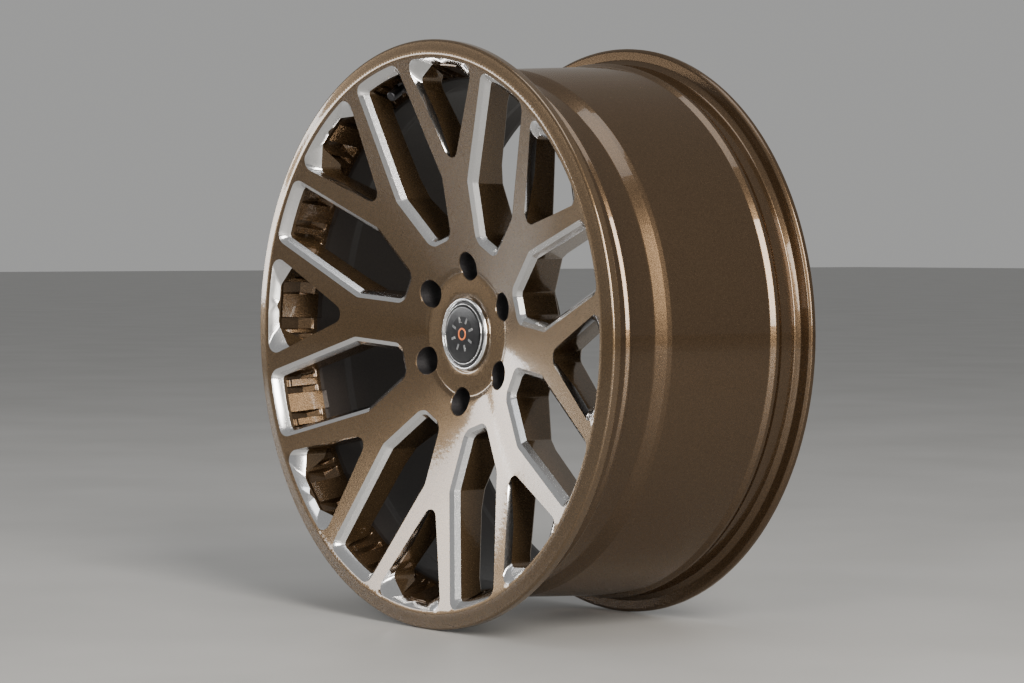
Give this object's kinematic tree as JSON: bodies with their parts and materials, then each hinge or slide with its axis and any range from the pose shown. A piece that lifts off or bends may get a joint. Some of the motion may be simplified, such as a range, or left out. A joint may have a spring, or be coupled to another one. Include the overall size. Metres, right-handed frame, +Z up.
{
  "type": "forged wheel rim",
  "caption": "Deep bronze forged road wheel with Y-shaped spokes, bevelled silver window edges, lug seats, push-in centre cap and clamp-in tyre valve.",
  "frame": {"origin": "on the wheel's axis, halfway between the outer planes of its two flanges", "axes": "+Y along the axle towards the vehicle, so the face looks along -Y; +Z up, +X to the right seen from the front"},
  "size_m": [0.5982, 0.2666, 0.5982],
  "materials": {
    "bronze_paint": "gloss dark bronze metallic paint with silver milled window edges",
    "barrel_paint": "gloss dark bronze metallic paint",
    "seat_steel": "turned steel",
    "bright_silver": "polished",
    "cap_plastic": "moulded black",
    "emblem_gloss": "gloss black",
    "spring_steel": "bright drawn wire",
    "valve_alloy": "dark anodised",
    "seal_rubber": "matt",
    "core_brass": "turned"
  },
  "bodies": {
    "wheel": {"face_disc": "bronze_paint", "rim_barrel": "barrel_paint", "lug_seat_1": "seat_steel", "lug_seat_2": "seat_steel", "lug_seat_3": "seat_steel", "lug_seat_4": "seat_steel", "lug_seat_5": "seat_steel", "lug_seat_6": "seat_steel", "valve_stem": "valve_alloy", "valve_grommet": "seal_rubber", "valve_washer": "spring_steel", "valve_nut": "valve_alloy", "valve_core_body": "core_brass", "valve_core_spring": "spring_steel"},
    "centre_cap": {"cap_body": "cap_plastic", "cap_trim_ring": "bright_silver", "cap_emblem_bezel": "bright_silver", "cap_emblem_disc": "emblem_gloss", "cap_retaining_ring": "spring_steel"},
    "valve_pin": {"valve_core_pin": "core_brass"},
    "valve_cap_lift": {"valve_cap_seal": "seal_rubber"},
    "valve_cap_turn": {"valve_cap": "valve_alloy"}
  },
  "joints": [
    {"name": "cap_pull", "type": "slide", "parent": "wheel", "child": "centre_cap", "axis": [0, -1, 0], "range_m": [0, 0.03]},
    {"name": "valve_pin_press", "type": "slide", "parent": "wheel", "child": "valve_pin", "axis": [-0.1509, 0.8572, 0.4924], "range_m": [0, 0.0012], "stiffness_N_per_m": 1200, "springref_m": -0.001},
    {"name": "valve_cap_lift_off", "type": "slide", "parent": "wheel", "child": "valve_cap_lift", "axis": [0.1509, -0.8572, -0.4924], "range_m": [0, 0.00437]},
    {"name": "valve_cap_unscrew", "type": "hinge", "parent": "valve_cap_lift", "child": "valve_cap_turn", "pos_m": [-0.07988, -0.08854, 0.26062], "axis": [0.1509, -0.8572, -0.4924], "range_deg": [0, 1980]}
  ],
  "couplings": [
    {"joint": "valve_cap_unscrew", "follows": "valve_cap_lift_off", "rad_per_m": 7913.3}
  ]
}
